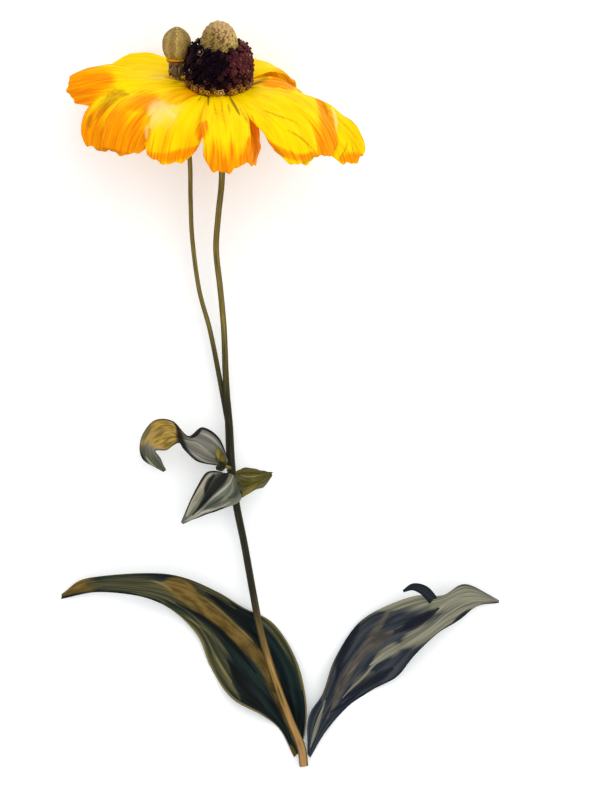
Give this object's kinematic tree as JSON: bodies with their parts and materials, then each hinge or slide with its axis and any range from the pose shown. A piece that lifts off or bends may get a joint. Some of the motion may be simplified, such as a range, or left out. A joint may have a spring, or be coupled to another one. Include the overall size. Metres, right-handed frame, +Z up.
{
  "type": "cut shiny coneflower",
  "caption": "Cut flowering stem of a shiny coneflower lying down: a drooping yellow bloom with a tall dark cone, a young head, a leaf cluster and long basal leaves.",
  "frame": {"origin": "on the surface that the flower lies on, under the middle of the whole flower", "axes": "+Y along the stem from its cut end to its bloom, +X to the right as seen from above, +Z up from the surface"},
  "size_m": [0.1756, 0.2972, 0.0814],
  "materials": {
    "stem": "satin",
    "basal_leaf": "satin",
    "stem_leaf": "satin",
    "shoot": "satin",
    "ray": "satin",
    "bract": "satin",
    "disc_floret": "satin",
    "disc_bud": "matte",
    "outer_floret": "matte"
  },
  "bodies": {
    "root": {"stem": "stem", "basal_leaf_left": "basal_leaf", "basal_leaf_right": "basal_leaf", "stem_leaf_curled": "stem_leaf", "stem_leaf_front": "stem_leaf", "stem_leaf_right": "stem_leaf", "axillary_shoot": "shoot", "bloom_rays": "ray", "bloom_bracts": "bract", "bloom_disc_florets": "disc_floret", "bloom_disc_buds": "disc_bud", "bloom_outer_florets": "outer_floret", "young_bracts": "bract", "young_rays": "ray", "young_disc_buds": "disc_bud"}
  },
  "joints": []
}
